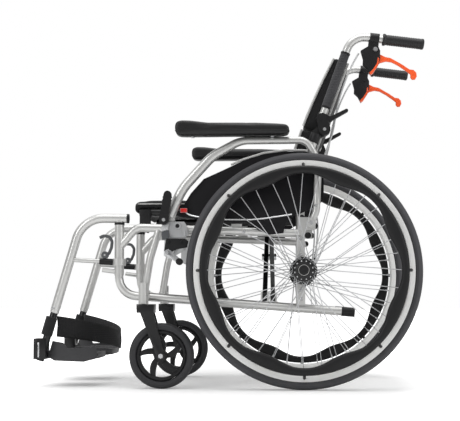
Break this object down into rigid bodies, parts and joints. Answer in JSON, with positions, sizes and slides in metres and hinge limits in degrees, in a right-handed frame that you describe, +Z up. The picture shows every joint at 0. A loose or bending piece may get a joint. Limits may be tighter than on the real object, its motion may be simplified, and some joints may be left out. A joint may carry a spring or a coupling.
{
  "type": "manual wheelchair",
  "caption": "Folding self-propelled wheelchair with swing-away legrests, flip-back armrests, fold-down back, push-handle brakes and wheel locks.",
  "frame": {"origin": "middle of the chair's bounding box, on the floor", "axes": "-Y is the front of the chair, +X the user's left side, +Z up"},
  "size_m": [0.6294, 1.0339, 0.9391],
  "materials": {
    "silver_paint": "satin silver paint",
    "rim_silver": "bright anodised",
    "black_plastic": "moulded",
    "black_metal": "satin black",
    "tyre_rubber": "dark grey rubber",
    "grip_rubber": "soft matt",
    "orange_plastic": "glossy orange",
    "red_plastic": "glossy red",
    "guard_panel": "smooth dark panel",
    "black_fabric": "woven nylon",
    "pad_foam": "skinned foam",
    "footplate_plastic": "moulded",
    "latch_grey": "cast",
    "bright_steel": "bright"
  },
  "bodies": {
    "left_frame": {"left_side_frame": "silver_paint", "left_back_hinge": "black_plastic", "left_lock_bracket": "latch_grey", "left_brake_cable": "bright_steel", "back_upholstery_lower": "black_fabric"},
    "left_back": {"left_back_cane": "silver_paint", "left_hand_grip": "grip_rubber", "left_brake_housing": "black_plastic", "back_upholstery_upper": "black_fabric"},
    "left_back_release": {"left_back_release_lever": "black_plastic"},
    "left_brake": {"left_brake_lever": "orange_plastic"},
    "left_armrest": {"left_armrest_frame": "silver_paint", "left_armrest_pad": "pad_foam", "left_side_guard": "guard_panel"},
    "left_armrest_catch": {"left_armrest_release": "red_plastic"},
    "left_wheel": {"left_rear_tyre": "tyre_rubber", "left_rear_rim": "rim_silver", "left_rear_hub": "black_metal", "left_push_rim": "black_plastic"},
    "left_caster_swivel_body": {"left_caster_fork": "black_plastic"},
    "left_caster_roller": {"left_caster_tyre": "tyre_rubber", "left_caster_wheel": "black_plastic"},
    "left_legrest": {"left_legrest_hanger": "silver_paint", "left_foot_tube": "black_metal", "left_heel_strap": "black_fabric"},
    "left_foot": {"left_footplate": "footplate_plastic"},
    "left_legrest_catch": {"left_legrest_latch": "latch_grey"},
    "left_lock": {"left_lock_handle": "black_plastic"},
    "left_lock_arm": {"left_lock_shoe": "bright_steel"},
    "right_frame": {"right_side_frame": "silver_paint", "right_back_hinge": "black_plastic", "right_lock_bracket": "latch_grey", "right_brake_cable": "bright_steel"},
    "right_back": {"right_back_cane": "silver_paint", "right_hand_grip": "grip_rubber", "right_brake_housing": "black_plastic"},
    "right_back_release": {"right_back_release_lever": "black_plastic"},
    "right_brake": {"right_brake_lever": "orange_plastic"},
    "right_armrest": {"right_armrest_frame": "silver_paint", "right_armrest_pad": "pad_foam", "right_side_guard": "guard_panel"},
    "right_armrest_catch": {"right_armrest_release": "red_plastic"},
    "right_wheel": {"right_rear_tyre": "tyre_rubber", "right_rear_rim": "rim_silver", "right_rear_hub": "black_metal", "right_push_rim": "black_plastic"},
    "right_caster_swivel_body": {"right_caster_fork": "black_plastic"},
    "right_caster_roller": {"right_caster_tyre": "tyre_rubber", "right_caster_wheel": "black_plastic"},
    "right_legrest": {"right_legrest_hanger": "silver_paint", "right_foot_tube": "black_metal", "right_heel_strap": "black_fabric"},
    "right_foot": {"right_footplate": "footplate_plastic"},
    "right_legrest_catch": {"right_legrest_latch": "latch_grey"},
    "right_lock": {"right_lock_handle": "black_plastic"},
    "right_lock_arm": {"right_lock_shoe": "bright_steel"},
    "cross_left": {"left_cross_brace": "black_metal", "cross_pin": "bright_steel"},
    "cross_right": {"right_cross_brace": "black_metal", "seat_sling": "black_fabric"}
  },
  "joints": [
    {"name": "left_back_fold", "type": "hinge", "parent": "left_frame", "child": "left_back", "pos_m": [0.206, 0.2482, 0.679], "axis": [-1, 0, 0], "range_deg": [0, 90], "deforming": ["left_brake_cable"]},
    {"name": "left_back_release", "type": "hinge", "parent": "left_back", "child": "left_back_release", "pos_m": [0.206, 0.26483, 0.70791], "axis": [1, 0, 0], "range_deg": [0, 20], "stiffness_Nm_per_rad": 0.3},
    {"name": "left_brake_squeeze", "type": "hinge", "parent": "left_back", "child": "left_brake", "pos_m": [0.206, 0.38399, 0.89059], "axis": [1, 0, 0], "range_deg": [-20, 25], "stiffness_Nm_per_rad": 0.5},
    {"name": "left_armrest_flip", "type": "hinge", "parent": "left_frame", "child": "left_armrest", "pos_m": [0.2352, 0.2107, 0.43], "axis": [-1, 0, 0], "range_deg": [0, 85]},
    {"name": "left_armrest_catch_slide", "type": "slide", "parent": "left_armrest", "child": "left_armrest_catch", "axis": [0, 1, 0], "range_m": [0, 0.01], "stiffness_N_per_m": 200},
    {"name": "left_wheel_spin", "type": "hinge", "parent": "left_frame", "child": "left_wheel", "pos_m": [0.265, 0.1907, 0.305], "axis": [1, 0, 0], "continuous": true},
    {"name": "left_caster_swivel", "type": "hinge", "parent": "left_frame", "child": "left_caster_swivel_body", "pos_m": [0.2435, -0.2268, 0.2185], "axis": [0, 0, 1], "continuous": true},
    {"name": "left_caster_spin", "type": "hinge", "parent": "left_caster_swivel_body", "child": "left_caster_roller", "pos_m": [0.2435, -0.1783, 0.085], "axis": [1, 0, 0], "continuous": true},
    {"name": "left_legrest_swing", "type": "hinge", "parent": "left_frame", "child": "left_legrest", "pos_m": [0.21, -0.2963, 0.428], "axis": [0, 0, 1], "range_deg": [0, 90]},
    {"name": "left_footplate_flip", "type": "hinge", "parent": "left_legrest", "child": "left_foot", "pos_m": [0.186, -0.2963, 0.085], "axis": [0, 1, 0], "range_deg": [0, 90]},
    {"name": "left_legrest_catch", "type": "hinge", "parent": "left_legrest", "child": "left_legrest_catch", "pos_m": [0.21, -0.3343, 0.348], "axis": [1, 0, 0], "range_deg": [0, 20], "stiffness_Nm_per_rad": 0.3},
    {"name": "left_lock_push", "type": "hinge", "parent": "left_frame", "child": "left_lock", "pos_m": [0.2635, -0.1718, 0.4365], "axis": [1, 0, 0], "range_deg": [0, 55]},
    {"name": "left_lock_shoe_turn", "type": "hinge", "parent": "left_frame", "child": "left_lock_arm", "pos_m": [0.2635, -0.1613, 0.352], "axis": [1, 0, 0], "range_deg": [0, 35]},
    {"name": "right_back_fold", "type": "hinge", "parent": "right_frame", "child": "right_back", "pos_m": [-0.206, 0.2482, 0.679], "axis": [-1, 0, 0], "range_deg": [0, 90], "deforming": ["right_brake_cable"]},
    {"name": "right_back_release", "type": "hinge", "parent": "right_back", "child": "right_back_release", "pos_m": [-0.206, 0.26483, 0.70791], "axis": [1, 0, 0], "range_deg": [0, 20], "stiffness_Nm_per_rad": 0.3},
    {"name": "right_brake_squeeze", "type": "hinge", "parent": "right_back", "child": "right_brake", "pos_m": [-0.206, 0.38399, 0.89059], "axis": [1, 0, 0], "range_deg": [-20, 25], "stiffness_Nm_per_rad": 0.5},
    {"name": "right_armrest_flip", "type": "hinge", "parent": "right_frame", "child": "right_armrest", "pos_m": [-0.2352, 0.2107, 0.43], "axis": [-1, 0, 0], "range_deg": [0, 85]},
    {"name": "right_armrest_catch_slide", "type": "slide", "parent": "right_armrest", "child": "right_armrest_catch", "axis": [0, 1, 0], "range_m": [0, 0.01], "stiffness_N_per_m": 200},
    {"name": "right_wheel_spin", "type": "hinge", "parent": "right_frame", "child": "right_wheel", "pos_m": [-0.265, 0.1907, 0.305], "axis": [1, 0, 0], "continuous": true},
    {"name": "right_caster_swivel", "type": "hinge", "parent": "right_frame", "child": "right_caster_swivel_body", "pos_m": [-0.2435, -0.2268, 0.2185], "axis": [0, 0, 1], "continuous": true},
    {"name": "right_caster_spin", "type": "hinge", "parent": "right_caster_swivel_body", "child": "right_caster_roller", "pos_m": [-0.2435, -0.1783, 0.085], "axis": [1, 0, 0], "continuous": true},
    {"name": "right_legrest_swing", "type": "hinge", "parent": "right_frame", "child": "right_legrest", "pos_m": [-0.21, -0.2963, 0.428], "axis": [0, 0, -1], "range_deg": [0, 90]},
    {"name": "right_footplate_flip", "type": "hinge", "parent": "right_legrest", "child": "right_foot", "pos_m": [-0.186, -0.2963, 0.085], "axis": [0, -1, 0], "range_deg": [0, 90]},
    {"name": "right_legrest_catch", "type": "hinge", "parent": "right_legrest", "child": "right_legrest_catch", "pos_m": [-0.21, -0.3343, 0.348], "axis": [1, 0, 0], "range_deg": [0, 20], "stiffness_Nm_per_rad": 0.3},
    {"name": "right_lock_push", "type": "hinge", "parent": "right_frame", "child": "right_lock", "pos_m": [-0.2635, -0.1718, 0.4365], "axis": [1, 0, 0], "range_deg": [0, 55]},
    {"name": "right_lock_shoe_turn", "type": "hinge", "parent": "right_frame", "child": "right_lock_arm", "pos_m": [-0.2635, -0.1613, 0.352], "axis": [1, 0, 0], "range_deg": [0, 35]},
    {"name": "fold", "type": "hinge", "parent": "left_frame", "child": "cross_left", "pos_m": [0.19, 0.0887, 0.23949], "axis": [0, 1, 0], "range_deg": [0, 45], "deforming": ["seat_sling", "back_upholstery_upper", "back_upholstery_lower", "left_heel_strap", "right_heel_strap"]},
    {"name": "cross_turn", "type": "hinge", "parent": "cross_left", "child": "cross_right", "pos_m": [0, 0.1047, 0.35074], "axis": [0, 1, 0], "range_deg": [-90, 0]},
    {"name": "right_frame_turn", "type": "hinge", "parent": "cross_right", "child": "right_frame", "pos_m": [-0.19, 0.1047, 0.23949], "axis": [0, 1, 0], "range_deg": [0, 45]}
  ],
  "couplings": [
    {"joint": "left_lock_shoe_turn", "follows": "left_lock_push", "ratio": 0.62},
    {"joint": "left_footplate_flip", "follows": "fold", "ratio": 2},
    {"joint": "right_lock_shoe_turn", "follows": "right_lock_push", "ratio": 0.62},
    {"joint": "right_footplate_flip", "follows": "fold", "ratio": 2},
    {"joint": "right_back_fold", "follows": "left_back_fold", "ratio": 1},
    {"joint": "cross_turn", "follows": "fold", "ratio": -2},
    {"joint": "right_frame_turn", "follows": "fold", "ratio": 1}
  ]
}
